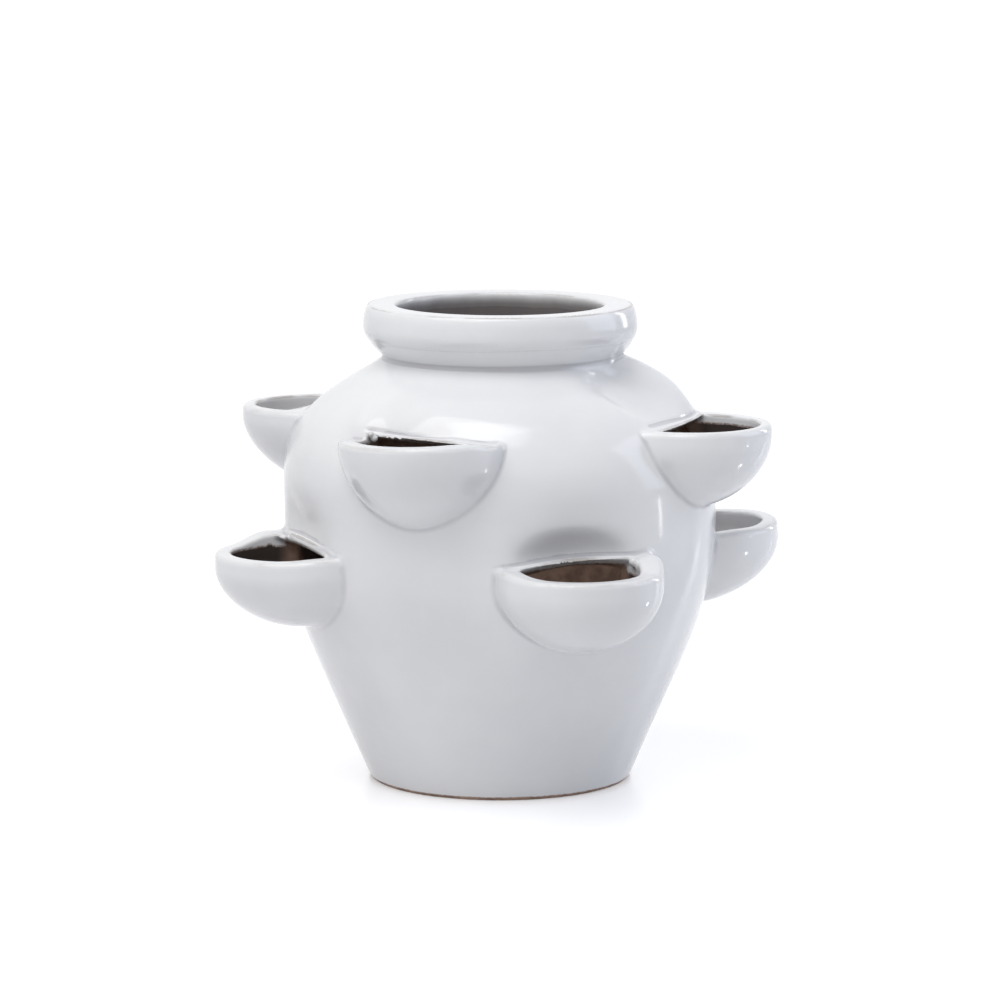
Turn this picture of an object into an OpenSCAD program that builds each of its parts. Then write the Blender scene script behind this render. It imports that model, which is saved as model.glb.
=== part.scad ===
// Strawberry jar planter: a round-bellied jar with a thick rim and two rows of
// cup-shaped pockets, each open to the soil inside through a window in the wall.
// Millimetres, +Z up. The origin is the centre of the foot, on the ground.
// The first upper pocket faces -Y.

/* [Jar] */
// Height of the jar from its foot to the top of its rim
jar_h = 300; // [280:2:330]
// Outside radius of the foot
foot_r = 82.5; // [74:0.5:92]
// Width of the small bevel round the foot
foot_bevel = 1.5; // [0.5:0.5:3]
// Outside radius at the widest part of the belly
belly_r = 136; // [124:1:150]
// Height of the widest part of the belly
belly_z = 188; // [176:1:200]
// Sideways lean of the flank where it leaves the foot, per mm of height
flank_lean = 0.44; // [0.36:0.01:0.52]
// Height up to which the flank keeps that lean's pull
flank_pull = 138; // [120:1:150]
// Height over which the belly turns, below and above its widest circle
belly_pull = 52; // [44:1:58]
// Thickness of the jar's wall
wall_t = 9; // [7:0.5:12]
// Thickness of the base slab, set inside the foot of the wall
base_t = 11; // [8:0.5:16]
// Radius of the drain hole in the base slab
drain_r = 9; // [6:0.5:14]

/* [Neck and rim] */
// Outside radius of the neck
neck_r = 74; // [68:0.5:79]
// Height of the rim collar, from the top of the neck to the top of the rim
collar_h = 33; // [29:0.5:38]
// Width of the fillet between the shoulder and the neck
neck_fillet = 5; // [3:0.5:8]
// Outside radius of the rim's band
rim_r = 85.5; // [82:0.5:92]
// Height of the rim's band
band_h = 23; // [18:0.5:26]
// Overhang of the band over the collar's flare, which also rounds its lower edge
band_step = 5; // [2:0.5:7]
// Radius of the mouth
mouth_r = 64; // [58:0.5:67]
// Radius of the band's upper edge
rim_round = 6; // [3:0.5:8]
// Radius of the mouth's edge
mouth_round = 3; // [1.5:0.5:5]

/* [Pockets] */
// Turn of the lower row against the upper one, in degrees
row_turn = 44; // [38:1:52]
// Drop from the top of the rim to the lips of the upper pockets
upper_drop = 69; // [64:1:76]
// Drop from the lips of the upper pockets to those of the lower ones
row_gap = 79; // [74:1:90]
// Outside radius of a pocket's cup
cup_r = 52; // [48:0.5:56]
// Depth of an upper cup, from its lip to the lowest point of its underside
upper_cup_d = 59; // [52:1:64]
// Depth of a lower cup, from its lip to the lowest point of its underside
lower_cup_d = 51; // [46:1:60]
// Roundness of a cup's underside, from conical to full
cup_fullness = 0.46; // [0.38:0.02:0.56]
// Height of the upright side under a cup's lip
cup_side_h = 7; // [5:0.5:12]
// Thickness of a cup's lip at the front
lip_t = 10; // [7:0.5:12]
// Radius of the rounding along a cup's lip
lip_round = 3.5; // [2:0.25:4]
// Radius of a cup's mouth
cup_mouth_r = 38; // [34:0.5:40]
// Thickness of a cup's floor
cup_floor_t = 9; // [7:0.5:12]
// Rise of the back lip, the window's upper edge in the wall, over the front lip
back_lip_rise = 3; // [1:0.5:6]

/* [Hidden] */
UPPER = ["upper_pocket_front", "upper_pocket_right", "upper_pocket_back", "upper_pocket_left"];
LOWER = ["lower_pocket_front_right", "lower_pocket_back_right",
         "lower_pocket_back_left", "lower_pocket_front_left"];

GLAZE = [0.87, 0.88, 0.89];
BARE_CLAY = [0.62, 0.43, 0.33];
ROW_COUNT = len(UPPER);
REVOLVE_FN = 96;
CURVE_STEPS = 9;
CORNER_STEPS = 5;
// Length by which a cutting shape runs past what it cuts
CUT = 1;

neck_z = jar_h - collar_h;
neck_in_r = neck_r - wall_t;
shoulder_end = [neck_r + neck_fillet, neck_z - neck_fillet];
shoulder_in_end = [neck_in_r + neck_fillet, neck_z - neck_fillet - wall_t];
// Way in which the shoulder comes out of the neck's fillet, sideways and down
shoulder_run = [18, -11];
band_z = jar_h - band_h;
upper_lip_z = jar_h - upper_drop;
lower_lip_z = upper_lip_z - row_gap;
// Shift of a cup's mouth away from the jar, which leaves the front lip lip_t thick
mouth_shift = cup_r - lip_t - cup_mouth_r;

// Points of a cubic curve from a to d, pulled towards b and c
function curve(a, b, c, d, steps) = [
    for (i = [0:steps])
        let (t = i / steps, u = 1 - t)
        u * u * u * a + 3 * u * u * t * b + 3 * u * t * t * c + t * t * t * d
];

// Points of an arc round centre c, from angle a0 to a1
function arc(c, r, a0, a1) = [
    for (i = [0:CORNER_STEPS])
        let (a = a0 + (a1 - a0) * i / CORNER_STEPS)
        c + r * [cos(a), sin(a)]
];

function reversed(points) = [for (i = [len(points) - 1:-1:0]) points[i]];

// Flank from the foot at from to the belly at [to_r, belly_z]
function flank(from, to_r) = curve(
    from,
    [from[0] + flank_lean * flank_pull, flank_pull],
    [to_r, belly_z - belly_pull],
    [to_r, belly_z],
    CURVE_STEPS
);

// Shoulder from the belly at [from_r, belly_z] to the start of the neck's fillet
function shoulder(from_r, to, drop) = curve(
    [from_r, belly_z],
    [from_r, belly_z + belly_pull - drop],
    to + shoulder_run,
    to,
    CURVE_STEPS
);

// Hollow fillet from the shoulder's end up to the neck's top
function neck_rise(from, top) = curve(
    from,
    from + [-0.7, 0.43] * neck_fillet,
    top - [0, 0.5] * neck_fillet,
    top,
    CORNER_STEPS
);

// Half section of the jar's outside, and of its hollow, from the foot to the neck
OUTER_LINE = concat(
    [[foot_r - foot_bevel, 0]],
    flank([foot_r, foot_bevel], belly_r),
    shoulder(belly_r, shoulder_end, 0),
    neck_rise(shoulder_end, [neck_r, neck_z])
);
INNER_LINE = concat(
    flank([foot_r - wall_t, 0], belly_r - wall_t),
    shoulder(belly_r - wall_t, shoulder_in_end, wall_t),
    neck_rise(shoulder_in_end, [neck_in_r, neck_z])
);

// Radius of the jar's outside at height z
function outer_r_at(z) = lookup(z, [for (p = OUTER_LINE) [p[1], p[0]]]);

// Half section of a cup's outside or hollow below z = 0: an upright side over a
// rounded underside
function cup_section(r, depth) = concat(
    [[r, 0]],
    curve(
        [r, -cup_side_h],
        [r, -cup_side_h - cup_fullness * (depth - cup_side_h)],
        [r * cup_fullness, -depth],
        [0, -depth],
        CURVE_STEPS
    )
);

// Outside of a cup, filled, with the lip's outer edge rounded
module cup_outside(depth) {
    rotate_extrude($fn = REVOLVE_FN)
        polygon(concat(
            [[0, 0]],
            arc([cup_r - lip_round, -lip_round], lip_round, 90, 0),
            [for (p = cup_section(cup_r, depth)) if (p[1] < -lip_round) p]
        ));
}

// Hollow of a cup, which also cuts the window in the wall behind it
module cup_hollow(depth) {
    rotate_extrude($fn = REVOLVE_FN)
        polygon(concat(
            [[0, back_lip_rise], [cup_mouth_r, back_lip_rise]],
            cup_section(cup_mouth_r, depth - cup_floor_t)
        ));
}

// Puts a cup's shape in its place in a row, with its lip at lip_z
module at_pocket(turn, lip_z, shift) {
    rotate([0, 0, turn])
        translate([0, -outer_r_at(lip_z) - shift, lip_z])
            children();
}

// Turn of the i-th pocket of a row about the jar
function upper_turn(i) = i * 360 / ROW_COUNT;
function lower_turn(i) = row_turn + i * 360 / ROW_COUNT;

module base_slab() {
    color(BARE_CLAY)
        difference() {
            rotate_extrude($fn = REVOLVE_FN)
                intersection() {
                    polygon(concat([[0, 0]], INNER_LINE, [[0, neck_z]]));
                    square([belly_r, base_t]);
                }
            translate([0, 0, -CUT])
                cylinder(r = drain_r, h = base_t + 2 * CUT, $fn = REVOLVE_FN);
        }
}

module jar_wall() {
    color(GLAZE)
        difference() {
            rotate_extrude($fn = REVOLVE_FN)
                polygon(concat(OUTER_LINE, reversed(INNER_LINE)));
            for (i = [0:ROW_COUNT - 1]) {
                at_pocket(upper_turn(i), upper_lip_z, mouth_shift)
                    cup_hollow(upper_cup_d);
                at_pocket(lower_turn(i), lower_lip_z, mouth_shift)
                    cup_hollow(lower_cup_d);
            }
        }
}

module rim_collar() {
    flare_h = band_z - neck_z;
    flare_end = [rim_r - band_step, band_z];
    color(GLAZE)
        rotate_extrude($fn = REVOLVE_FN)
            polygon(concat(
                [[mouth_r, neck_z]],
                curve(
                    [neck_r, neck_z],
                    [neck_r, neck_z + flare_h / 2],
                    flare_end - [band_step / 2, flare_h / 4],
                    flare_end,
                    CORNER_STEPS
                ),
                arc([rim_r - band_step, band_z + band_step], band_step, -90, 0),
                arc([rim_r - rim_round, jar_h - rim_round], rim_round, 0, 90),
                arc([mouth_r + mouth_round, jar_h - mouth_round], mouth_round, 90, 180)
            ));
}

// A cup, trimmed to lie against the jar's outside
module pocket(turn, lip_z, depth) {
    color(GLAZE)
        difference() {
            at_pocket(turn, lip_z, 0)
                cup_outside(depth);
            at_pocket(turn, lip_z, mouth_shift)
                cup_hollow(depth);
            rotate_extrude($fn = REVOLVE_FN)
                polygon(concat([[0, 0]], OUTER_LINE, [[0, neck_z]]));
        }
}

base_slab();
jar_wall();
rim_collar();
for (i = [0:ROW_COUNT - 1]) {
    pocket(upper_turn(i), upper_lip_z, upper_cup_d);
    pocket(lower_turn(i), lower_lip_z, lower_cup_d);
}
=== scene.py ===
"""Looks of a glazed strawberry jar: eleven clay pieces cut from one sculpted jar.

The jar is described as distance fields (body, hollow, cups, hand-made dents), turned into
one closed mesh, and then cut along the CAD model's joints into a wall, a rim collar and
eight pockets, so that the joins don't show. Everything is in metres.
"""

import math
from collections import namedtuple

import bpy
import numpy as np
from mathutils import Matrix, Vector


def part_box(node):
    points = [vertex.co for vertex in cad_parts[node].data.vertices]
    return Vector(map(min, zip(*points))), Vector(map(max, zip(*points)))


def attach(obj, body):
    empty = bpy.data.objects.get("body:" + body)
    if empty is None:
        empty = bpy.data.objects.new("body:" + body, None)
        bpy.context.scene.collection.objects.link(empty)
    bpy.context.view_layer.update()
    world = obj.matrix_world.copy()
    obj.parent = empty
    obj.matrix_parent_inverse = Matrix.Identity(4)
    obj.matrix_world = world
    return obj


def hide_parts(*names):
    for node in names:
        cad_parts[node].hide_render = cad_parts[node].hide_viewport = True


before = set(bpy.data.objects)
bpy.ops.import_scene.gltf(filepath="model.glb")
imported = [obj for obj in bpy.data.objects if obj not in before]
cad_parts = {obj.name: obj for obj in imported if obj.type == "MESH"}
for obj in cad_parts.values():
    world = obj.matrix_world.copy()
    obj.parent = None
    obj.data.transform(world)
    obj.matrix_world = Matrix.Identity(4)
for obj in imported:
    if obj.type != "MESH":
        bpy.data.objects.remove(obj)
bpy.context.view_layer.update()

MM = 0.001

# ---------------------------------------------------------------- sizes of the jar

RIM_LOW, RIM_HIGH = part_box("rim_collar")
RIM_TOP, NECK_Z, RIM_R = RIM_HIGH.z, RIM_LOW.z, RIM_HIGH.x
BELLY_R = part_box("jar_wall")[1].x
BELLY_Z = 188 * MM
BELLY_PULL = 52 * MM
FOOT_R = 82.5 * MM
FOOT_BEVEL = 1.5 * MM
FLANK_LEAN = 0.44
FLANK_PULL = 138 * MM
WALL_T = 9 * MM
NECK_R = 73.3 * MM
NECK_FILLET = 5 * MM
WAIST_Z = NECK_Z + 1.2 * MM
NECK_START = (NECK_R + NECK_FILLET, WAIST_Z - NECK_FILLET)
NECK_PULLS = (-0.7 * NECK_FILLET, 0.43 * NECK_FILLET), (0, -0.5 * NECK_FILLET)
SHOULDER_PULL = (17 * MM, -11 * MM)
FLARE_R = RIM_R - 3 * MM
BAND_Z = RIM_TOP - 20.5 * MM
BAND_STEP = 0.7 * MM
BAND_BULGE_Z = RIM_TOP - 13 * MM
RIM_ROUND = 3.5 * MM
# Pulls of the curves up to the flare, up the band to its bulge and over to the rim's top,
# each from its own end of the curve
FLARE_PULLS = (1.7 * MM, 3 * MM), (-3 * MM, -6 * MM)
BAND_PULLS = (1 * MM, 2 * MM), (0, -3 * MM)
TOP_PULLS = (0, 6 * MM), (2.5 * MM, -1 * MM)
MOUTH_R = 64.5 * MM
# Length by which the hollow's outline runs out below the foot and above the rim
RUN_OUT = 60 * MM
BASE_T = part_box("base_slab")[1].z
DRAIN_R = 9 * MM

UPPER_LOW, UPPER_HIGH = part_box("upper_pocket_front")
LOWER_LOW, LOWER_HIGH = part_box("lower_pocket_front_right")
CUP_R = UPPER_HIGH.x
CUP_MOUTH_R = 38 * MM
CUP_FLOOR_T = 9 * MM
MOUTH_SHIFT = 4 * MM
LIP_ROUND = 3.5 * MM
ROW_TURN = 44
QUARTER = 90


# ---------------------------------------------------------------- half sections

def curve(a, b, c, d, steps=90):
    """Points of a cubic curve from a to d, pulled towards b and c."""
    a, b, c, d = (np.array(p, float) for p in (a, b, c, d))
    t = np.linspace(0, 1, steps + 1)[:, None]
    return (1 - t) ** 3 * a + 3 * (1 - t) ** 2 * t * b + 3 * (1 - t) * t * t * c + t ** 3 * d


def pulled(a, pulls, d, steps):
    """Points of a cubic curve from a to d, whose pulls are given from its ends."""
    return curve(a, np.add(a, pulls[0]), np.add(d, pulls[1]), d, steps)


def arc(centre, radius, start, end, steps=12):
    """Points of an arc round centre, from angle start to end in degrees."""
    angles = np.radians(np.linspace(start, end, steps + 1))
    return np.array(centre) + radius * np.stack([np.cos(angles), np.sin(angles)], 1)


def flank(start, to_r):
    """Flank from the foot at start to the belly."""
    pull = (start[0] + FLANK_LEAN * FLANK_PULL, FLANK_PULL)
    return curve(start, pull, (to_r, BELLY_Z - BELLY_PULL), (to_r, BELLY_Z), 140)


def shoulder(from_r, end, drop):
    """Shoulder from the belly to the start of the neck's fillet."""
    return pulled((from_r, BELLY_Z), [(0, BELLY_PULL - drop), SHOULDER_PULL], end, 100)


def neck_rise(start, top):
    """Hollow fillet from the shoulder's end up to the neck's top."""
    return pulled(start, NECK_PULLS, top, 10)


def wall_line():
    """The jar's outside from its foot to the start of the neck's fillet."""
    return np.vstack([flank((FOOT_R, FOOT_BEVEL), BELLY_R), shoulder(BELLY_R, NECK_START, 0)])


def outside_line():
    """The jar's outside from under its foot to the middle of its filled-in top."""
    waist = (NECK_R, WAIST_Z)
    flare = (FLARE_R, BAND_Z)
    band = (FLARE_R + BAND_STEP, BAND_Z + BAND_STEP / 2)
    bulge = (RIM_R, BAND_BULGE_Z)
    return np.vstack([
        [(0, 0), (FOOT_R - FOOT_BEVEL, 0)],
        wall_line(),
        neck_rise(NECK_START, waist),
        pulled(waist, FLARE_PULLS, flare, 14),
        pulled(band, BAND_PULLS, bulge, 14),
        pulled(bulge, TOP_PULLS, (RIM_R - RIM_ROUND, RIM_TOP), 20),
        [(0, RIM_TOP)],
    ])


def hollow_line():
    """The jar's hollow, run out below the foot and above the mouth."""
    foot_r, belly_r, neck_r = FOOT_R - WALL_T, BELLY_R - WALL_T, NECK_R - WALL_T
    neck = (neck_r + NECK_FILLET, NECK_Z - NECK_FILLET - WALL_T)
    return np.vstack([
        [(foot_r, -RUN_OUT)],
        flank((foot_r, 0), belly_r),
        shoulder(belly_r, neck, WALL_T),
        neck_rise(neck, (neck_r, NECK_Z)),
        [(MOUTH_R, BAND_Z), (MOUTH_R, RIM_TOP + RUN_OUT)],
    ])


def cup_line(radius, depth, side_h, fullness, top=0):
    """A cup's side and underside, from its round lip or from height top down to its axis."""
    round_lip = arc((radius - LIP_ROUND, -LIP_ROUND), LIP_ROUND, 90, 0)
    side = [(radius, top)] if top > 0 else [(0, 0), *round_lip]
    under = curve((radius, -side_h), (radius, -side_h - fullness * (depth - side_h)),
                  (radius * fullness, -depth), (0, -depth))
    return np.vstack([side, under])


class Section:
    """Signed distance to a half section, negative inside, kept in a table."""

    STEP = 0.5 * MM

    def __init__(self, line, high_r, low_z, high_z):
        self.low_z = low_z
        r = np.arange(0, high_r, self.STEP)
        z = np.arange(low_z, high_z, self.STEP)
        r, z = np.meshgrid(r, z, indexing="ij")
        points = np.stack([r.ravel(), z.ravel()], 1).astype(np.float32)
        start, end = line[:-1].astype(np.float32), line[1:].astype(np.float32)
        nearest = np.full(len(points), np.inf, np.float32)
        crossings = np.zeros(len(points), bool)
        for a, b in zip(start, end):
            along = b - a
            length = float(along @ along)
            if length == 0:
                continue
            t = np.clip(((points - a) @ along) / length, 0, 1)
            gap = points - a - t[:, None] * along
            np.minimum(nearest, (gap * gap).sum(1), out=nearest)
            if a[1] != b[1]:
                spans = (points[:, 1] < a[1]) != (points[:, 1] < b[1])
                edge_r = a[0] + along[0] * (points[:, 1] - a[1]) / along[1]
                crossings ^= spans & (edge_r > points[:, 0])
        distance = np.sqrt(nearest) * np.where(crossings, -1, 1)
        self.table = self.soften(distance.reshape(r.shape))

    @staticmethod
    def soften(table):
        """Takes the facets of the line out of the table."""
        for axis in (0, 1):
            for _ in range(2):
                margins = [(1, 1) if a == axis else (0, 0) for a in (0, 1)]
                padded = np.pad(table, margins, "reflect", reflect_type="odd" if axis else "even")
                size = table.shape[axis]
                low, mid, high = (np.take(padded, range(i, i + size), axis) for i in range(3))
                table = (low + 2 * mid + high) / 4
        return table.astype(np.float64)

    def __call__(self, r, z):
        """Distance at points, read between the table's values and, past its ends, from the
        last of them."""
        table, inside = self.table, 1.001
        i = np.clip(r / self.STEP, 0, table.shape[0] - inside)
        j = np.clip((z - self.low_z) / self.STEP, 0, table.shape[1] - inside)
        i0, j0 = i.astype(int), j.astype(int)
        s, t = i - i0, j - j0
        low = table[i0, j0] * (1 - s) + table[i0 + 1, j0] * s
        high = table[i0, j0 + 1] * (1 - s) + table[i0 + 1, j0 + 1] * s
        return low * (1 - t) + high * t


# Half planes that the tables cover: greatest radius, lowest and highest point
JAR_PLANE = (0.2, -0.02, 0.32)
CUP_PLANE = (0.12, -0.1, 0.08)

OUTSIDE = Section(outside_line(), *JAR_PLANE)
HOLLOW = Section(hollow_line(), *JAR_PLANE)
UPPER_DEPTH = UPPER_HIGH.z - UPPER_LOW.z
LOWER_DEPTH = LOWER_HIGH.z - LOWER_LOW.z


def wall_r(z):
    """Radius of the jar's outside at height z, below the neck."""
    line = wall_line()
    return float(np.interp(z, line[:, 1], line[:, 0]))


# ---------------------------------------------------------------- hand-made differences

# A push of the wall by hand: its middle, to the side of the pocket's axis and up from its
# lip, its half width and half height, how far the wall goes in (or out, if negative) and
# how sharply it ends
Push = namedtuple("Push", "side up wide high deep sharp", defaults=[1])

# The clay pressed under a cup to join it to the wall, as a second cup: to the side of the
# first one, lower, further back into the wall, and smaller
Pad = namedtuple("Pad", "side drop back size")

# A crumb of clay left on a lip by the knife: its middle and its radius
Curl = namedtuple("Curl", "side out up size")

# A pocket: its node and turn about the jar, its cup's size against the row's, the height of
# the cup's upright side, its roundness and its roll in degrees. rise is how far the ends of
# its lip turn up along the wall, left and right. Over the cup the wall stands down to its
# arris, the window's upper edge, and is creased along its ledge; both are heights over the
# lip at the left, middle and right. shelf is the share of the pushes that ends at the ledge.
# The fillets lie between the cup and the wall beside the lip and underneath. slope is how
# steeply the cut under the arris drops inwards, and mouth how far to the side the cup's
# hollow lies and its size against the row's. glazed is how far the glaze runs into it and
# into the wall's cut. pitch is how much the lip rises away from the jar, in degrees
Pocket = namedtuple("Pocket", "node turn lip_z depth wide tall upright full roll rise ledge arris shelf "
                              "fillets pad pushes curls slope mouth glazed pitch",
                    defaults=[(), 0.3, (0, 1), (5, 7), 0])


def upper(node, step, **hand):
    return Pocket("upper_pocket_" + node, step * QUARTER, UPPER_HIGH.z, UPPER_DEPTH, **hand)


def lower(node, step, **hand):
    return Pocket("lower_pocket_" + node, ROW_TURN + step * QUARTER, LOWER_HIGH.z, LOWER_DEPTH, **hand)


POCKETS = [
    upper("front", 0, wide=0.985, tall=1.0, upright=3, full=0.49, roll=1.5, rise=(-3, -3),
          ledge=(3.4, 0, -2.8), arris=(0.4, -3.2, -7), shelf=0, fillets=(3, 5), pad=Pad(0, 4, 18, 0.9),
          pushes=[Push(2, 9, 30, 12, -2), Push(-42, 6, 12, 11, -4.5)],
          curls=[Curl(-31, 1, -1.5, 2.2), Curl(-32.5, 2, 1.2, 1.8)]),
    upper("right", 1.015, wide=1.03, tall=0.94, upright=7, full=0.53, roll=0, rise=(0, 0),
          ledge=(1.5, 1.5, 1.5), arris=(-1, -1.5, 0), shelf=0, fillets=(4, 6), pad=Pad(0, 0, 30, 0.8),
          pushes=[Push(-18, 17, 28, 17, 6.5, 1.7), Push(38, 26, 24, 18, -5)],
          slope=0.5, mouth=(-2, 1.08), glazed=(6, 7)),
    upper("back", 2, wide=1.0, tall=0.94, upright=10, full=0.5, roll=1, rise=(1, 0),
          ledge=(1, 3, 1.5), arris=(-3, -1, -3), shelf=0.7, fillets=(4, 8), pad=Pad(-2, 8, 10, 0.93),
          pushes=[Push(4, 10, 30, 15, 5)]),
    upper("left", 3, wide=0.97, tall=0.9, upright=7, full=0.45, roll=0, rise=(0, 0),
          ledge=(1, 3, 2), arris=(-3, -2, -3), shelf=0.5, fillets=(4, 6), pad=Pad(0, 5, 11, 0.92),
          pushes=[Push(0, 9, 28, 14, 3.5)], mouth=(0, 1.04), glazed=(14, 7)),
    lower("front_right", -0.01, wide=0.985, tall=0.98, upright=10, full=0.53, roll=0, rise=(2, 7),
          ledge=(2, 4.6, 4.6), arris=(3.5, 7.2, 5.5), shelf=1, fillets=(6, 6), pad=Pad(0, 0, 30, 0.8),
          pushes=[Push(-2, 7, 30, 14, 10, 1.3), Push(6, 32, 32, 18, 2)],
          curls=[Curl(34, 3, 3.5, 3), Curl(36.5, 6, 1, 2.4)], slope=0.75, mouth=(-1.5, 0.97)),
    lower("back_right", 1, wide=0.98, tall=0.92, upright=9, full=0.52, roll=0, rise=(2, 2),
          ledge=(5, 8, 6), arris=(1, 3, 2), shelf=1, fillets=(4, 8), pad=Pad(0, 5, 9, 0.94),
          pushes=[Push(0, 12, 31, 13, 6)], glazed=(16, 9), pitch=6),
    lower("back_left", 2, wide=0.99, tall=0.95, upright=9, full=0.52, roll=-1, rise=(3, 1),
          ledge=(5, 8.5, 4), arris=(2, 3, 0), shelf=1, fillets=(5, 9), pad=Pad(0, 6, 9, 0.95),
          pushes=[Push(-4, 13, 31, 13, 6.5)]),
    lower("front_left", 3.022, wide=0.99, tall=0.91, upright=9, full=0.5, roll=0, rise=(6, 1.5),
          ledge=(5.4, 7, 4), arris=(3, 4, 2), shelf=0.6, fillets=(6, 6), pad=Pad(0, 3, 12, 0.95),
          pushes=[Push(3, 16, 30, 15, 6), Push(-20, 22, 15, 12, 2)],
          curls=[Curl(-12, -5, 6.4, 2.2), Curl(-24, -2, 4.6, 1.6)], slope=0.5, glazed=(3, 6)),
]

PAD_CREASE = 4.5 * MM
PAD_FILLET = 6 * MM
CURL_FILLET = 2 * MM
WALL_CREASE = 0.8 * MM
WALL_CREASE_WIDE = 1.3 * MM
WINDOW_ROUND = 4 * MM
CUT_ROUND = 3 * MM
LIP_EDGE = 3 * MM
MOUTH_EDGE = 5 * MM
PUSH_EDGE = 3 * MM

# Ends of the stretches over which a share grows from 0 to 1. Out from the wall: the pushes,
# and the rise of the lip's ends. Along the wall: the rise, and the crease over the cup. Up
# from the lip: the fillet underneath, and the pad
PUSH_OUT = (-85 * MM, -45 * MM)
RISE_OUT = (30 * MM, 2 * MM)
RISE_SIDE = (18 * MM, 46 * MM)
CREASE_SIDE = (CUP_MOUTH_R * 1.15, CUP_MOUTH_R * 0.9)
UNDER_UP = (0, -25 * MM)
PAD_UP = (-12 * MM, -30 * MM)
# Heights from which an edge starts and ends to take the mouth's rounding, not a lip's
MOUTH_EDGE_Z = (NECK_Z, RIM_TOP - 10 * MM)

# Share of the cup's mouth, to each side, over which a line along the lip keeps its curve
LIP_SPAN = 1.2
# Height over the lip to which a cup's hollow goes on up
BOWL_TOP = 90 * MM

# Slow unevenness of the thrown wall: half waves per metre along X, Y and Z, phase and depth
LUMPS = [((9, 4, 7), 0.3, 0.35), ((-6, 11, 12), 1.7, 0.3), ((5, -8, 21), 4.1, 0.22),
         ((17, 13, -9), 2.6, 0.15), ((-21, 16, 18), 5.2, 0.1)]
# Heights over the foot, and under the rim, that the unevenness takes to come in
LUMPS_FOOT, LUMPS_RIM = 30 * MM, 20 * MM


def smooth_min(a, b, k):
    """The lesser of two distances, with a fillet about k wide where they meet."""
    h = np.maximum(k - np.abs(a - b), 0) / k
    return np.minimum(a, b) - h * h * h * k / 6


def smooth_max(a, b, k):
    return -smooth_min(-a, -b, k)


def smooth_step(low, high, value):
    t = np.clip((value - low) / (high - low), 0, 1)
    return t * t * (3 - 2 * t)


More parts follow.
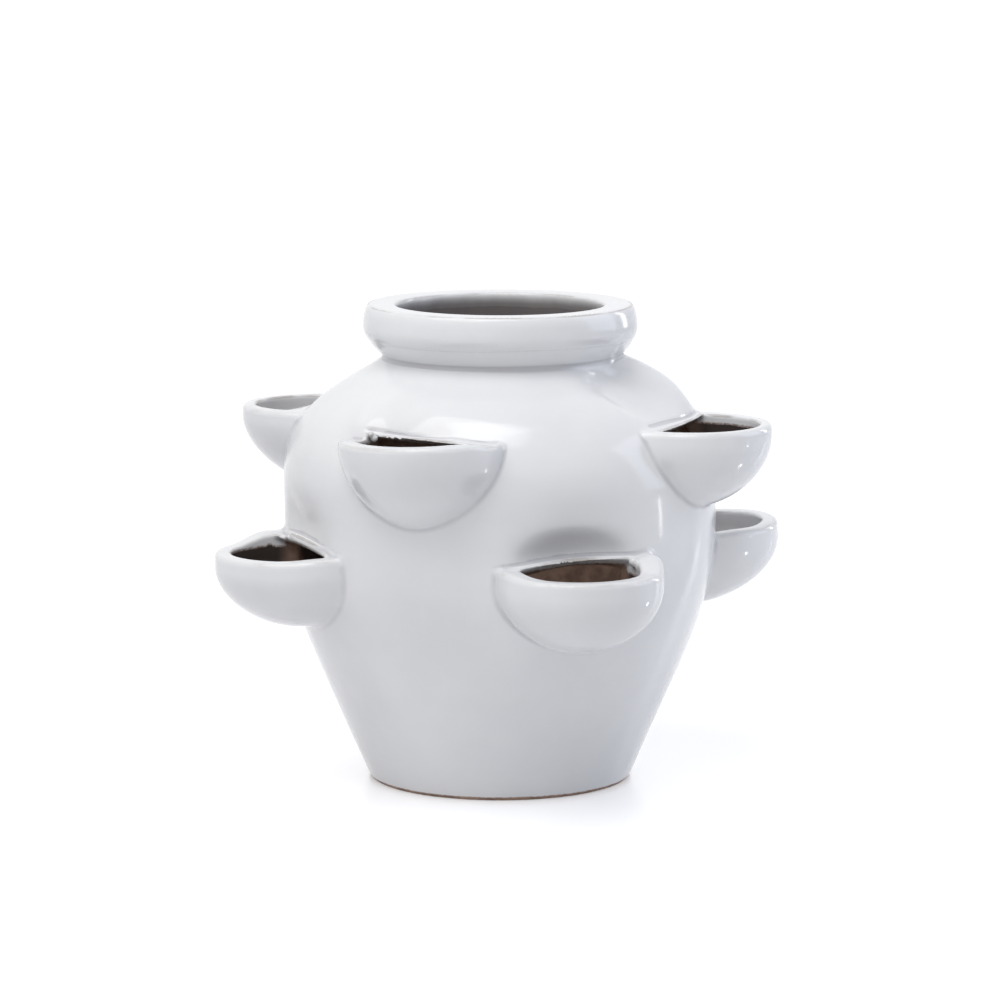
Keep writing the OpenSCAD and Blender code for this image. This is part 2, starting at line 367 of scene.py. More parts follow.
class PocketPlace:
    """Where points are against one pocket: side along the wall, out from it and up from the
    lip."""

    REACH = 100 * MM

    def __init__(self, pocket):
        self.pocket = pocket
        self.axis_r = wall_r(pocket.lip_z)
        turn = math.radians(pocket.turn)
        self.out = np.array([math.sin(turn), -math.cos(turn)])
        self.side = np.array([math.cos(turn), math.sin(turn)])
        depth, upright = pocket.depth * pocket.tall, pocket.upright * MM
        mouth_side, mouth_size = pocket.mouth
        self.mouth_side, self.mouth_r = mouth_side * MM, CUP_MOUTH_R * pocket.wide * mouth_size
        cup = cup_line(CUP_R * pocket.wide, depth, upright, pocket.full)
        bowl = cup_line(self.mouth_r, depth - CUP_FLOOR_T, upright, pocket.full, BOWL_TOP)
        self.cup_section, self.bowl_section = Section(cup, *CUP_PLANE), Section(bowl, *CUP_PLANE)

    def level(self, points):
        """Side, out and up of points, before the pocket's roll and pitch."""
        flat = points[:, :2]
        return flat @ self.side, flat @ self.out - self.axis_r, points[:, 2] - self.pocket.lip_z

    def near(self, points):
        """Which points the pocket can change."""
        side, out, up = self.level(points)
        return (np.abs(side) < self.REACH) & (np.abs(out) < self.REACH) & (np.abs(up) < self.REACH)

    def local(self, points):
        """Side, out and up of points, turned with the pocket's roll and pitch."""
        side, out, up = self.level(points)
        side, up = self.turned(side, up, self.pocket.roll)
        out, up = self.turned(out, up, self.pocket.pitch)
        return side, out, up

    @staticmethod
    def turned(across, up, degrees):
        cos, sin = math.cos(math.radians(degrees)), math.sin(math.radians(degrees))
        return across * cos + up * sin, up * cos - across * sin

    @staticmethod
    def along_lip(heights, side):
        """Height of a line over the cup that is given at the lip's left, middle and right."""
        left, middle, right = (h * MM for h in heights)
        t = np.clip(side / CUP_MOUTH_R, -LIP_SPAN, LIP_SPAN)
        return middle + (right - left) / 2 * t + ((left + right) / 2 - middle) * t * t

    def pushed(self, side, out, up):
        """How far the wall is pushed in over the pocket."""
        total = 0
        for push in self.pocket.pushes:
            across = ((side - push.side * MM) / (push.wide * MM)) ** 2
            upward = ((up - push.up * MM) / (push.high * MM)) ** 2
            total = total + push.deep * MM * np.exp(-(across + upward) ** push.sharp)
        over = up - self.along_lip(self.pocket.ledge, side)
        total = total * (1 - self.pocket.shelf * (1 - smooth_step(0, PUSH_EDGE, over)))
        crease = np.exp(-(over / WALL_CREASE_WIDE) ** 2) * smooth_step(*CREASE_SIDE, np.abs(side))
        total = total + (1 - self.pocket.shelf) * WALL_CREASE * crease
        return total * smooth_step(*PUSH_OUT, out)

    def risen(self, side, out):
        """How far the lip has turned up."""
        left, right = (h * MM for h in self.pocket.rise)
        end = np.where(side < 0, left, right) * smooth_step(*RISE_SIDE, np.abs(side))
        return end * smooth_step(*RISE_OUT, out)

    def cup(self, side, out, up):
        """Distance to the cup's filled outside."""
        return self.cup_section(np.hypot(side, out), up - self.risen(side, out))

    def pad(self, side, out, up):
        """Distance to the clay pressed under the cup."""
        pad = self.pocket.pad
        rho = np.hypot(side - pad.side * MM, out + pad.back * MM)
        return self.cup_section(rho / pad.size, (up + pad.drop * MM) / pad.size) * pad.size

    def from_mouth(self, side, out):
        """Distance to the axis of the cup's hollow."""
        return np.hypot(side - self.mouth_side, out - MOUTH_SHIFT)

    def bowl(self, side, out, up):
        """Distance to the cup's hollow, which goes on up past its lip."""
        return self.bowl_section(self.from_mouth(side, out), up)

    def window(self, side, out, up):
        """Distance to the bowl's hollow with the wall left standing over the arris."""
        slope = self.pocket.slope
        under_cut = (up - self.along_lip(self.pocket.arris, side) - slope * out) / math.hypot(1, slope)
        return smooth_max(self.bowl(side, out, up), under_cut, CUT_ROUND)

    def joined(self, wall, side, out, up):
        """Distance to the wall's outside with the pad and the cup joined to it."""
        cup, pad = self.cup(side, out, up), self.pad(side, out, up)
        lip_fillet, under_fillet = (f * MM for f in self.pocket.fillets)
        fillet = lip_fillet + (under_fillet - lip_fillet) * smooth_step(*UNDER_UP, up)
        padded = smooth_min(wall, pad, PAD_FILLET)
        share = smooth_step(*PAD_UP, up)
        return smooth_min(wall + (padded - wall) * share, cup, fillet + (PAD_CREASE - fillet) * share)

    def with_curls(self, clay, side, out, up):
        """Distance to the clay with the crumbs left on the lip."""
        for curl in self.pocket.curls:
            across, over = side - curl.side * MM, up - curl.up * MM
            away = np.sqrt(across ** 2 + (out - curl.out * MM) ** 2 + over ** 2)
            clay = smooth_min(clay, away - curl.size * MM, CURL_FILLET)
        return clay


PLACES = [PocketPlace(p) for p in POCKETS]


def lumps(points):
    """How far the thrown wall is out of true."""
    total = 0
    for half_waves, phase, depth in LUMPS:
        total = total + depth * MM * np.sin(points @ (math.pi * np.array(half_waves, float)) + phase)
    z = points[:, 2]
    return total * smooth_step(0, LUMPS_FOOT, z) * smooth_step(RIM_TOP, RIM_TOP - LUMPS_RIM, z)


def shapes(points):
    """Distances to the jar's outside with its cups, and to all its hollows."""
    r, z = np.hypot(points[:, 0], points[:, 1]), points[:, 2]
    outside = OUTSIDE(r, z) + lumps(points)
    hollow = HOLLOW(r, z)
    for place in PLACES:
        near = place.near(points)
        if not near.any():
            continue
        side, out, up = place.local(points[near])
        push = place.pushed(side, out, up)
        outside[near] = place.joined(outside[near] + push, side, out, up)
        hollow[near] = smooth_min(hollow[near] + push, place.window(side, out, up), WINDOW_ROUND)
    return outside, hollow


def clay(points):
    """Signed distance to the fired clay, negative inside it."""
    outside, hollow = shapes(points)
    edge = LIP_EDGE + (MOUTH_EDGE - LIP_EDGE) * smooth_step(*MOUTH_EDGE_Z, points[:, 2])
    distance = smooth_max(outside, -hollow, edge)
    for place in PLACES:
        if not place.pocket.curls:
            continue
        near = place.near(points)
        if near.any():
            distance[near] = place.with_curls(distance[near], *place.local(points[near]))
    return distance


# ---------------------------------------------------------------- from fields to a mesh

GRID = 1.4 * MM
# The grid covers this box. It is a share of a cell off it, so that no plane of the grid lies
# in a flat face of the jar
GRID_LOW, GRID_HIGH = (-0.186, -0.186, -0.008), (0.186, 0.186, 0.306)
GRID_SHIFT = 0.37
# Cells along a block of the grid, and how near the surface a block has to be, in blocks, for
# its cells to be worked out one by one
BLOCK = 4
BLOCK_NEAR = 1.6
# Points worked out at a time
CHUNK = 400_000
# Distance to each side over which a field's gradient is measured
GRADIENT_STEP = 0.6 * MM
# Times that points are moved onto the surface, and the least square of the gradient that a
# move counts with
SETTLE_ROUNDS = 3
LEAST_SQUARE = 0.2
# Share of the faces that the thinned mesh keeps
KEPT_FACES = 0.45


def in_chunks(field, points):
    """The field at many points, a chunk at a time."""
    return np.concatenate([field(points[i:i + CHUNK]) for i in range(0, len(points), CHUNK)])


def gradient_of(field, points):
    ways = np.eye(3) * GRADIENT_STEP
    rises = [in_chunks(field, points + way) - in_chunks(field, points - way) for way in ways]
    return np.stack(rises, 1) / (2 * GRADIENT_STEP)


def sample_grid(field, low, high):
    """The field on a grid of points, worked out only in blocks near its surface."""
    blocks = np.ceil((high - low) / (GRID * BLOCK)).astype(int)
    centres = np.stack(np.meshgrid(*[np.arange(n) for n in blocks], indexing="ij"), -1).reshape(-1, 3)
    centres = low + (centres * BLOCK + (BLOCK - 1) / 2) * GRID
    rough = in_chunks(field, centres).reshape(blocks)
    rough = np.repeat(np.repeat(np.repeat(rough, BLOCK, 0), BLOCK, 1), BLOCK, 2)
    values = rough.astype(np.float32)
    close = np.nonzero(np.abs(rough) < GRID * BLOCK * BLOCK_NEAR)
    values[close] = in_chunks(field, low + np.stack(close, 1) * GRID)
    return values


def surface_net(values, low):
    """One point for each cell that the surface goes through, and a quad round each grid edge
    that crosses it."""
    inside = values < 0
    count = np.zeros(np.array(values.shape) - 1, np.int8)
    corners = [(i, j, k) for i in (0, 1) for j in (0, 1) for k in (0, 1)]
    size = count.shape
    for i, j, k in corners:
        count += inside[i:i + size[0], j:j + size[1], k:k + size[2]]
    mixed = (count > 0) & (count < 8)
    number = np.full(size, -1, np.int32)
    number[mixed] = np.arange(mixed.sum())
    cells = np.argwhere(mixed)
    total, crossings = np.zeros(cells.shape), np.zeros(len(cells))
    for first in corners:
        for axis in range(3):
            if first[axis]:
                continue
            second = tuple(c + (a == axis) for a, c in enumerate(first))
            va = values[tuple((cells + first).T)]
            vb = values[tuple((cells + second).T)]
            crosses = (va < 0) != (vb < 0)
            t = np.where(crosses, va / np.where(crosses, va - vb, 1), 0)
            point = cells + np.array(first) + t[:, None] * (np.array(second) - first)
            total += np.where(crosses[:, None], point, 0)
            crossings += crosses
    points = low + total / crossings[:, None] * GRID
    quads = []
    for axis in range(3):
        one, two = [a for a in range(3) if a != axis]
        start = [slice(0, -1) if a == axis else slice(1, -1) for a in range(3)]
        end = [slice(1, None) if a == axis else slice(1, -1) for a in range(3)]
        first, second = inside[tuple(start)], inside[tuple(end)]
        where = np.argwhere(first != second)
        leaves = first[tuple(where.T)]
        step_one, step_two = np.eye(3, dtype=int)[one], np.eye(3, dtype=int)[two]
        around = [where, where + step_one, where + step_one + step_two, where + step_two]
        ring = np.stack([number[tuple(c.T)] for c in around], 1)
        flip = leaves == (axis == 1)
        ring[flip] = ring[flip][:, ::-1]
        quads.append(ring)
    return points, np.concatenate(quads)


def settle(field, points):
    """Moves points onto the field's surface."""
    for _ in range(SETTLE_ROUNDS):
        value, gradient = in_chunks(field, points), gradient_of(field, points)
        step = value / np.maximum((gradient ** 2).sum(1), LEAST_SQUARE)
        step = np.clip(step, -GRID / 2, GRID / 2)
        points = points - step[:, None] * gradient
    return points


def new_object(name, mesh):
    piece = bpy.data.objects.new(name, mesh)
    bpy.context.scene.collection.objects.link(piece)
    return piece


def mesh_object(name, points, faces):
    """An object from an array of points and an array of faces with the same number of sides."""
    mesh = bpy.data.meshes.new(name)
    sides = faces.shape[1]
    mesh.vertices.add(len(points))
    mesh.vertices.foreach_set("co", points.astype(np.float32).ravel())
    mesh.loops.add(faces.size)
    mesh.loops.foreach_set("vertex_index", faces.astype(np.int32).ravel())
    mesh.polygons.add(len(faces))
    mesh.polygons.foreach_set("loop_start", np.arange(len(faces), dtype=np.int32) * sides)
    mesh.update(calc_edges=True)
    mesh.validate()
    return new_object(name, mesh)


def lathe(name, line, sides, closed=False):
    """A closed solid of revolution. A line that isn't closed starts and ends on the axis."""
    line = np.asarray(line, float)
    ring = line if closed else line[1:-1]
    angles = np.linspace(0, 2 * math.pi, sides, endpoint=False)
    circle = np.stack([np.cos(angles), np.sin(angles)], 1)
    points = np.concatenate([(ring[:, None, :1] * circle).reshape(-1, 2),
                             np.repeat(ring[:, 1], sides)[:, None]], 1)
    index = np.arange(len(ring) * sides).reshape(len(ring), sides)
    upper_rows = np.roll(index, -1, 0) if closed else index[1:]
    lower_rows = index if closed else index[:-1]
    faces = np.stack([lower_rows, np.roll(lower_rows, -1, 1), np.roll(upper_rows, -1, 1), upper_rows], -1)
    faces = faces.reshape(-1, 4)
    faces = np.concatenate([faces[:, [0, 1, 2]], faces[:, [0, 2, 3]]])
    if not closed:
        ends = len(points) + np.arange(2)
        points = np.concatenate([points, [(0, 0, line[0][1]), (0, 0, line[-1][1])]])
        first, last = index[0], index[-1]
        caps = [np.stack([np.full(sides, ends[0]), np.roll(first, -1), first], 1),
                np.stack([np.full(sides, ends[1]), last, np.roll(last, -1)], 1)]
        faces = np.concatenate([faces, *caps])
    return mesh_object(name, points, faces)


def applied(piece):
    """Gives the object its mesh with its modifiers worked in."""
    depsgraph = bpy.context.evaluated_depsgraph_get()
    mesh = bpy.data.meshes.new_from_object(piece.evaluated_get(depsgraph))
    piece.modifiers.clear()
    piece.data = mesh
    return piece


def cut(piece, operation, other):
    """Works another closed solid into a piece."""
    modifier = piece.modifiers.new("cut", "BOOLEAN")
    modifier.operation = operation
    modifier.solver = "MANIFOLD"
    modifier.object = other
    return applied(piece)


def twin(piece, name):
    return new_object(name, piece.data.copy())


def sculpted_jar():
    """The whole jar but its base slab, as one closed mesh."""
    low, high = np.array(GRID_LOW) + GRID_SHIFT * GRID, np.array(GRID_HIGH)
    points, quads = surface_net(sample_grid(clay, low, high), low)
    jar = mesh_object("jar", settle(clay, points), quads)
    thin = jar.modifiers.new("thin", "DECIMATE")
    thin.ratio = KEPT_FACES
    return applied(jar)


# How far a pocket's cutting solid stands off its cup, and over its lip
TOOL_MARGIN = 5 * MM
TOOL_TOP = 16 * MM
# Sides of the round solids
TOOL_SIDES, BODY_SIDES, SLAB_SIDES = 96, 384, 96


def pocket_tool(place):
    """A solid round one pocket, down to the jar's outside, that cuts it from the wall."""
    p = place.pocket
    radius, depth = CUP_R * p.wide + TOOL_MARGIN, p.depth * p.tall + TOOL_MARGIN
    side_line = cup_line(radius, depth, p.upright * MM, p.full, TOOL_TOP)
    line = np.vstack([[(0, TOOL_TOP)], side_line])[::-1]
    tool = lathe("tool", line, TOOL_SIDES)
    x, y = place.out * place.axis_r
    tool.data.transform(Matrix.Translation((x, y, p.lip_z)))
    body = lathe("body", outside_line(), BODY_SIDES)
    cut(tool, "DIFFERENCE", body)
    bpy.data.objects.remove(body)
    return tool


def block_above(z):
    """A metre cube that stands on height z."""
    bpy.ops.mesh.primitive_cube_add(size=1, location=(0, 0, z + 0.5))
    return bpy.context.object


# Greatest distance to the field's surface, and least likeness to the face's own normal, at
# which a corner takes its normal from the field
ON_SURFACE = 0.3 * MM
ALIKE = 0.3


def shade(piece):
    """Normals from the field, so that no join shows, and what the glaze needs to know."""
    mesh = piece.data
    count = len(mesh.vertices)
    points = np.empty(count * 3, np.float32)
    mesh.vertices.foreach_get("co", points)
    points = points.reshape(-1, 3).astype(float)
    gradient = gradient_of(clay, points)
    gradient /= np.linalg.norm(gradient, axis=1)[:, None]
    on_surface = np.abs(in_chunks(clay, points)) < ON_SURFACE
    faces, corners = len(mesh.polygons), len(mesh.loops)
    face_normals = np.empty(faces * 3, np.float32)
    mesh.polygons.foreach_get("normal", face_normals)
    totals = np.empty(faces, np.int32)
    mesh.polygons.foreach_get("loop_total", totals)
    corner_points = np.empty(corners, np.int32)
    mesh.loops.foreach_get("vertex_index", corner_points)
    corner_faces = np.repeat(face_normals.reshape(-1, 3), totals, 0)
    smooth = gradient[corner_points]
    takes_field = on_surface[corner_points] & ((smooth * corner_faces).sum(1) > ALIKE)
    normals = np.where(takes_field[:, None], smooth, corner_faces)
    mesh.polygons.foreach_set("use_smooth", np.ones(faces, bool))
    mesh.normals_split_custom_set(normals.tolist())
    for name, values in surface_facts(points).items():
        attribute = mesh.attributes.new(name, "FLOAT", "POINT")
        attribute.data.foreach_set("value", values.astype(np.float32))


# How far the glaze runs down inside the mouth, and ends over the foot, and how sharply
MOUTH_GLAZE_RUN = 9 * MM
FOOT_WIPE = 2.1 * MM
FOOT_SHARP = 3
# Ends of the stretches over which a cup's inside, whose clay is painted dark as shade, begins:
# out from the wall, and from the hollow's side
BOWL_OUT = (-10 * MM, 0)
BOWL_SIDE = (8 * MM, 3 * MM)
# Distance over which the surface's bend is measured, and its greatest value per millimetre
BEND_STEP = 1.2 * MM
BEND_MOST = 2


def surface_facts(points):
    """For each point: bare, the way past the glaze's end in millimetres, under 0 where there
    is glaze; edge, the bend of the surface, over 0 on an edge and under 0 in a crease; and
    bowl, 1 inside a cup and 0 inside the jar, where the cups' clay is painted dark as shade."""
    outside, hollow = shapes(points)
    bare = RIM_TOP - MOUTH_GLAZE_RUN - points[:, 2]
    wiped = FOOT_SHARP * (FOOT_WIPE - points[:, 2])
    bowl = np.zeros(len(points))
    for place in PLACES:
        near = place.near(points)
        if not near.any():
            continue
        side, out, up = place.local(points[near])
        rho = place.from_mouth(side, out) - place.mouth_r
        glazed_in, glazed_back = (run * MM for run in place.pocket.glazed)
        from_lip = np.hypot(np.maximum(rho, 0), np.minimum(up, 0))
        bare[near] = np.minimum(bare[near], np.maximum(from_lip - glazed_in, -out - glazed_back))
        in_cup = smooth_step(*BOWL_OUT, out) * smooth_step(*BOWL_SIDE, rho)
        bowl[near] = np.maximum(bowl[near], in_cup)
    in_hollow = outside + hollow < 0
    around = np.concatenate([np.eye(3), -np.eye(3)]) * BEND_STEP
    bend = -len(around) * in_chunks(clay, points)
    for offset in around:
        bend = bend + in_chunks(clay, points + offset)
    bend = bend / BEND_STEP ** 2 * MM
    return {"bare": np.where(in_hollow, bare, wiped) / MM,
            "edge": np.clip(bend, -BEND_MOST, BEND_MOST),
            "bowl": bowl}


# ---------------------------------------------------------------- materials

class Nodes:
    """Short names for building the node tree of a material or a world."""

    def __init__(self, owner):
        owner.use_nodes = True
        self.owner = owner
        self.tree = owner.node_tree

    def add(self, kind):
        return self.tree.nodes.new("ShaderNode" + kind)

    def put(self, socket, value):
        """Links a socket to the value's own, or sets it to a number or a colour."""
        if isinstance(value, bpy.types.NodeSocket):
            self.tree.links.new(value, socket)
        else:
            socket.default_value = value

    def math(self, operation, a, b=0.0):
        node = self.add("Math")
        node.operation = operation
        for socket, value in zip(node.inputs, (a, b)):
            self.put(socket, value)
        return node.outputs[0]


class MaterialNodes(Nodes):
    """Short names for building the node tree of a new material."""

    def __init__(self, name):
        super().__init__(bpy.data.materials.new(name))
        self.shader = self.tree.nodes["Principled BSDF"]
        self.place = self.add("TexCoord").outputs["Object"]

    def fact(self, name):
        """One of the numbers that the mesh has for each point."""
        node = self.add("Attribute")
        node.attribute_name = name
        return node.outputs["Fac"]

    def noise(self, scale, detail=2, rough=0.5, stretch=None):
        node = self.add("TexNoise")
        vector = self.place
        if stretch:
            mapping = self.add("Mapping")
            self.put(mapping.inputs["Vector"], vector)
            self.put(mapping.inputs["Scale"], stretch)
            vector = mapping.outputs["Vector"]
        self.put(node.inputs["Vector"], vector)
        self.put(node.inputs["Scale"], scale)
        self.put(node.inputs["Detail"], detail)
        self.put(node.inputs["Roughness"], rough)
        return node.outputs["Fac"]

    def spots(self, scale):
        node = self.add("TexVoronoi")
        self.put(node.inputs["Vector"], self.place)
        self.put(node.inputs["Scale"], scale)
        return node.outputs["Distance"], node.outputs["Color"]

    def ramp(self, value, low, high, to_low=0.0, to_high=1.0):
        """value smoothly turned from low..high to to_low..to_high."""
        node = self.add("MapRange")
        node.interpolation_type = "SMOOTHSTEP"
        for socket, number in zip(node.inputs, (value, low, high, to_low, to_high)):
            self.put(socket, number)
        return node.outputs["Result"]

    def mix(self, share, a, b):
        node = self.add("Mix")
        node.data_type = "RGBA"
        self.put(node.inputs["Factor"], share)
        self.put(node.inputs["A"], a)
        self.put(node.inputs["B"], b)
        return node.outputs["Result"]

    def bump(self, height, depth, normal=None):
        node = self.add("Bump")
        self.put(node.inputs["Height"], height)
        self.put(node.inputs["Distance"], depth)
        if normal:
            self.put(node.inputs["Normal"], normal)
        return node.outputs["Normal"]


# Noise and spots, in waves per metre
CLOUDS = 14
DRIPS = (90, 90, 9)
THIN_PATCHES = 30
PINHOLES, PINHOLE_SHARE = 38, 0.09
GLAZE_END, GLAZE_END_FINE = 55, 420
THROWING_LINES = (2, 2, 150)
RIPPLES = 130
CLAY_MOTTLE, CLAY_GRAIN = 90, 600

# Bend of the surface, per millimetre, from which the glaze starts and ends to pool in a
# crease, where it is also darkened as painted shade, and to thin on an edge
POOLED_AND_SHADE_BEND, THIN_BEND = (-0.05, -0.35), (0.24, 0.42)
# How far the glaze's end wanders, and the ways past it over which the clay comes in at a
# pocket and at the mouth, and the glaze turns brown, all in millimetres. At the mouth the wide way greys
# the glaze as painted shade
WANDER = 3.0
CRISP_END, SOFT_END, BROWN_END = (-0.5, 0.6), (-9.3, -1), (-1.6, -0.3)
# Height below the neck over which the inside of the jar turns from a painted dark grey, partly the clay's
# grey tone there and partly painted shade, to bare clay
MOUTH_SHADE_FADE = 30 * MM
LINES_DEEP, RIPPLES_DEEP, GRAIN_DEEP = 0.12 * MM, 0.06 * MM, 0.2 * MM
GLAZE_ROUGH, CLAY_ROUGH = 0.12, 0.85
GLAZE_IOR = 1.52

GLAZE_WHITE = (0.79, 0.795, 0.805, 1)
GLAZE_GREY = (0.70, 0.705, 0.72, 1)
# Grey of glaze pooled in creases, darkened further as painted shade
GLAZE_POOLED_AND_SHADE = (0.44, 0.44, 0.47, 1)
GLAZE_THIN = (0.46, 0.43, 0.41, 1)
TOASTED = (0.20, 0.115, 0.07, 1)
CLAY_BROWN = (0.42, 0.28, 0.21, 1)
CLAY_DARK = (0.25, 0.165, 0.125, 1)
# Almost black, painted on the clay inside the cups as shade
CLAY_CUP_SHADE = (0.035, 0.022, 0.02, 1)
# Dark grey painted on the clay inside the mouth: partly its grey tone, partly painted shade
CLAY_MOUTH_GREY_AND_SHADE = (0.13, 0.125, 0.13, 1)


def bare_clay_colour(n):
    mottle = n.ramp(n.noise(CLAY_MOTTLE, 5, 0.6), 0.35, 0.65)
    return n.mix(mottle, CLAY_DARK, CLAY_BROWN)


def glaze_colour(n):
    """White glaze: cloudy, run in drips, grey where it pools and darkened there as painted shade, thin on
    edges, with pinholes.
    """
    edge = n.fact("edge")
    cloud = n.ramp(n.noise(CLOUDS, 3, 0.5), 0.35, 0.7, 0, 0.5)
    drips = n.ramp(n.noise(1, 3, 0.6, stretch=DRIPS), 0.55, 0.8, 0, 0.35)
    colour = n.mix(cloud, GLAZE_WHITE, GLAZE_GREY)
    colour = n.mix(drips, colour, GLAZE_WHITE)
    # Creases take pooled grey glaze, darkened further as painted shade
    colour = n.mix(n.ramp(edge, *POOLED_AND_SHADE_BEND, 0, 0.65), colour, GLAZE_POOLED_AND_SHADE)
    patches = n.ramp(n.noise(THIN_PATCHES, 3, 0.6), 0.42, 0.6, 0.1, 0.85)
    colour = n.mix(n.math("MULTIPLY", n.ramp(edge, *THIN_BEND), patches), colour, GLAZE_THIN)
    distance, chance = n.spots(PINHOLES)
    rare = n.math("LESS_THAN", chance, PINHOLE_SHARE)
    pinhole = n.math("MULTIPLY", n.ramp(distance, 0.03, 0.018, 0, 0.8), rare)
    return n.mix(pinhole, colour, TOASTED)


def glaze_material():
    n = MaterialNodes("glazed_pottery")
    wander = n.math("MULTIPLY", n.math("SUBTRACT", n.noise(GLAZE_END, 3, 0.55), 0.5), WANDER)
    past_end = n.math("ADD", n.fact("bare"), wander)
    height = n.add("SeparateXYZ")
    n.put(height.inputs[0], n.place)
    # Inside the mouth the clay is painted dark grey and the glaze's end widens into it: partly the clay's
    # grey tone there, partly painted shade
    mouth_grey_and_shade = n.ramp(height.outputs["Z"], NECK_Z - MOUTH_SHADE_FADE, NECK_Z, 0, 0.9)
    crisp, soft = n.ramp(past_end, *CRISP_END), n.ramp(past_end, *SOFT_END)
    bare_share = n.math("ADD", crisp, n.math("MULTIPLY", mouth_grey_and_shade, n.math("SUBTRACT", soft, crisp)))
    toasted = n.ramp(n.noise(GLAZE_END_FINE, 3, 0.6), 0.35, 0.6, 0.3, 0.9)
    toasted = n.math("MULTIPLY", n.ramp(past_end, *BROWN_END), toasted)
    toasted = n.math("MULTIPLY", toasted, n.math("SUBTRACT", 1.0, mouth_grey_and_shade))
    # Inside the cups the clay is painted almost black: painted shade
    clay_colour = n.mix(n.fact("bowl"), bare_clay_colour(n), CLAY_CUP_SHADE)
    clay_colour = n.mix(mouth_grey_and_shade, clay_colour, CLAY_MOUTH_GREY_AND_SHADE)
    colour = n.mix(toasted, glaze_colour(n), TOASTED)

    n.put(n.shader.inputs["Base Color"], n.mix(bare_share, colour, clay_colour))
    n.put(n.shader.inputs["Roughness"], n.ramp(bare_share, 0, 1, GLAZE_ROUGH, CLAY_ROUGH))
    n.put(n.shader.inputs["IOR"], GLAZE_IOR)
    normal = n.bump(n.noise(1, 2, 0.5, stretch=THROWING_LINES), LINES_DEEP)
    normal = n.bump(n.noise(RIPPLES, 3, 0.5), RIPPLES_DEEP, normal)
    n.put(n.shader.inputs["Normal"], normal)
    return n.owner


def bare_clay_material():
    n = MaterialNodes("bare_clay")
    n.put(n.shader.inputs["Base Color"], bare_clay_colour(n))
    n.put(n.shader.inputs["Roughness"], CLAY_ROUGH)
    n.put(n.shader.inputs["Normal"], n.bump(n.noise(CLAY_GRAIN, 4, 0.6), GRAIN_DEEP))
    return n.owner


# ---------------------------------------------------------------- pieces

def finish_piece(piece, node, material):
    piece.data.materials.clear()
    piece.data.materials.append(material)
    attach(piece, "root")
    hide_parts(node)


def make_jar():
    """The sculpted jar, cut into its wall, its pockets and its rim."""
    glaze = glaze_material()
    jar = sculpted_jar()
    tools = [pocket_tool(place) for place in PLACES]
    pieces = {}
    wall = twin(jar, "wall_piece")
    for place, tool in zip(PLACES, tools):
        node = place.pocket.node
        pieces[node] = cut(twin(jar, node + "_piece"), "INTERSECT", tool)
        cut(wall, "DIFFERENCE", tool)
    block = block_above(NECK_Z)
    rim = twin(wall, "rim_piece")
    pieces["rim_collar"] = cut(rim, "INTERSECT", block)
    pieces["jar_wall"] = cut(wall, "DIFFERENCE", block)
    for helper in (jar, block, *tools):
        bpy.data.objects.remove(helper)
    for node, piece in pieces.items():
        shade(piece)
        finish_piece(piece, node, glaze)


# The slab's dish: its depth, the flat brim round it and the flat floor round its drain hole
DISH, DISH_BRIM, DISH_FLOOR = 1.8 * MM, 1 * MM, 4 * MM
# Rounding of the drain hole below and above
DRAIN_ROUND_LOW, DRAIN_ROUND_HIGH = 1.5 * MM, 3 * MM
# Least angle between the slab's faces, in degrees, that shows as an edge
SLAB_EDGE = 40


def make_base_slab():
    """The slab, hand-pressed into the foot: a soft dish with a worn drain hole."""
    inner = flank((FOOT_R - WALL_T, 0), BELLY_R - WALL_T)
    edge = inner[inner[:, 1] < BASE_T]
    top_r = float(np.interp(BASE_T, inner[:, 1], inner[:, 0]))
    dish_z = BASE_T - DISH
    brim, floor = (top_r - DISH_BRIM, BASE_T), (DRAIN_R + DISH_FLOOR, dish_z)
    line = np.vstack([
        arc((DRAIN_R + DRAIN_ROUND_LOW, DRAIN_ROUND_LOW), DRAIN_ROUND_LOW, 180, 270),
        edge,
        [(top_r, BASE_T)],
        curve(brim, (top_r * 0.6, BASE_T - 0.4 * MM), (top_r * 0.4, dish_z + 0.2 * MM), floor, 16),
        arc((DRAIN_R + DRAIN_ROUND_HIGH, dish_z - DRAIN_ROUND_HIGH), DRAIN_ROUND_HIGH, 90, 180),
    ])
    slab = lathe("base_slab_piece", line, SLAB_SIDES, closed=True)
    slab.data.polygons.foreach_set("use_smooth", np.ones(len(slab.data.polygons), bool))
    slab.data.set_sharp_from_angle(angle=math.radians(SLAB_EDGE))
    finish_piece(slab, "base_slab", bare_clay_material())


# ---------------------------------------------------------------- floor, lights, camera

PHOTO_TURN = 22.5
CAMERA_UP = 8.72
CAMERA_AWAY = 2.9
CAMERA_LENS = 165.85
SENSOR_WIDTH = 36
AIM = Vector((0, 0, 0.17546))

FLOOR_SIZE = 40
FLOOR_WHITE = (0.77, 0.77, 0.785, 1)
FLOOR_ROUGH = 0.22
# Light that the floor gives off by itself, for the rays that see the background
FLOOR_LIFT = 0.35

# The studio's soft white walls: turn from the camera to the right, height angle, strength
SKY = {
    "front_high": (0, 60, 0.65),
    "front_left": (-60, 25, 0.58),
    "front": (0, 12, 0.5),
    "backdrop": (180, 8, 1.2),
    "back_left": (-120, 25, 0.2),
}
# How fast the light of a wall falls off to its sides
SKY_FALL = 3
SKY_WHITE = (0.98, 0.985, 1, 1)

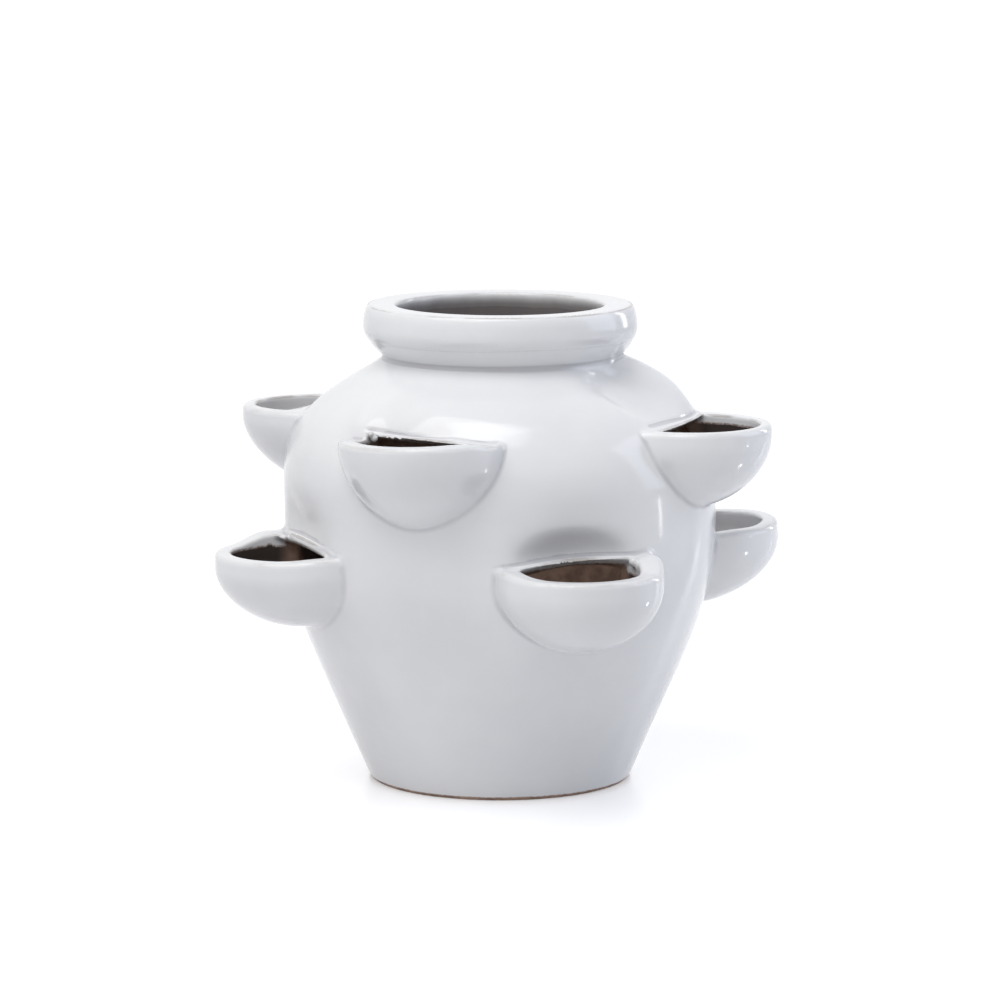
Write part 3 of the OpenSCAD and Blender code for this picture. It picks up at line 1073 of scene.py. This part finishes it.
# Lamps: turn from the camera to the right, height angle, distance, width, height, watts, colour
LAMPS = {
    "top_left": (-45, 64, 1.8, 1.4, 1.4, 11.5, (1, 0.985, 0.985)),
    "top": (-5, 68, 1.8, 0.9, 0.9, 5, (1, 1, 1)),
    "right": (95, 20, 1.8, 1.1, 1.3, 8, (0.75, 0.82, 1)),
    "right_back": (127, 14, 1.8, 0.25, 0.9, 3, (0.95, 0.97, 1)),
    "right_low": (82, -5, 0.6, 0.006, 0.035, 0.018, (1, 1, 1)),
    "right_lower": (83, -24, 0.42, 0.008, 0.05, 0.035, (1, 1, 1)),
}


def direction(turn, up):
    """Unit vector from the jar, by degrees to the right of the camera's side and up."""
    turn, up = math.radians(PHOTO_TURN + turn), math.radians(up)
    return Vector((math.sin(turn) * math.cos(up), -math.cos(turn) * math.cos(up), math.sin(up)))


def sees_background(n):
    """1 for the rays that see the plain white background: the camera's, and those that a
    glossy or clear surface turns there."""
    rays = n.add("LightPath")
    seen = rays.outputs["Is Camera Ray"]
    for name in ("Is Glossy Ray", "Is Transmission Ray"):
        seen = n.math("MAXIMUM", seen, rays.outputs[name])
    return seen


def make_floor():
    bpy.ops.mesh.primitive_plane_add(size=FLOOR_SIZE)
    floor = bpy.context.object
    floor.name = "floor"
    n = MaterialNodes("floor")
    n.put(n.shader.inputs["Base Color"], FLOOR_WHITE)
    n.put(n.shader.inputs["Roughness"], FLOOR_ROUGH)
    lift = n.add("Emission")
    n.put(lift.inputs["Color"], (1, 1, 1, 1))
    n.put(lift.inputs["Strength"], n.math("MULTIPLY", sees_background(n), FLOOR_LIFT))
    both = n.add("AddShader")
    n.put(both.inputs[0], n.shader.outputs[0])
    n.put(both.inputs[1], lift.outputs[0])
    n.put(n.tree.nodes["Material Output"].inputs["Surface"], both.outputs[0])
    floor.data.materials.append(n.owner)


def make_world():
    n = Nodes(bpy.data.worlds.new("studio"))
    place = n.add("TexCoord").outputs["Generated"]
    total = 0.0
    for turn, up, strength in SKY.values():
        towards = n.add("VectorMath")
        towards.operation = "DOT_PRODUCT"
        n.put(towards.inputs[0], place)
        n.put(towards.inputs[1], direction(turn, up))
        glow = n.math("POWER", n.math("MAXIMUM", towards.outputs["Value"], 0.0), SKY_FALL)
        total = n.math("ADD", total, n.math("MULTIPLY", glow, strength))
    seen = sees_background(n)
    lit = n.math("MULTIPLY", total, n.math("SUBTRACT", 1.0, seen))
    background = n.tree.nodes["Background"]
    n.put(background.inputs["Color"], SKY_WHITE)
    n.put(background.inputs["Strength"], n.math("ADD", lit, seen))
    bpy.context.scene.world = n.owner


def aimed_at_jar(name, data, turn, up, away):
    """A lamp or a camera that looks at the jar from a direction and a distance."""
    back = direction(turn, up)
    holder = new_object(name, data)
    holder.location = AIM + back * away
    holder.rotation_euler = back.to_track_quat("Z", "Y").to_euler()
    return holder


def make_lights():
    for name, (turn, up, away, width, height, watts, colour) in LAMPS.items():
        lamp = bpy.data.lights.new(name, "AREA")
        lamp.shape = "RECTANGLE"
        lamp.size, lamp.size_y = width, height
        lamp.energy = watts
        lamp.color = colour
        aimed_at_jar(name, lamp, turn, up, away).visible_camera = False


def make_camera():
    camera = bpy.data.cameras.new("camera")
    camera.lens = CAMERA_LENS
    camera.sensor_width = SENSOR_WIDTH
    bpy.context.scene.camera = aimed_at_jar("camera", camera, 0, CAMERA_UP, CAMERA_AWAY)


make_camera()
make_world()
make_lights()
make_floor()
make_jar()
make_base_slab()
bpy.context.scene.view_settings.view_transform = "Standard"
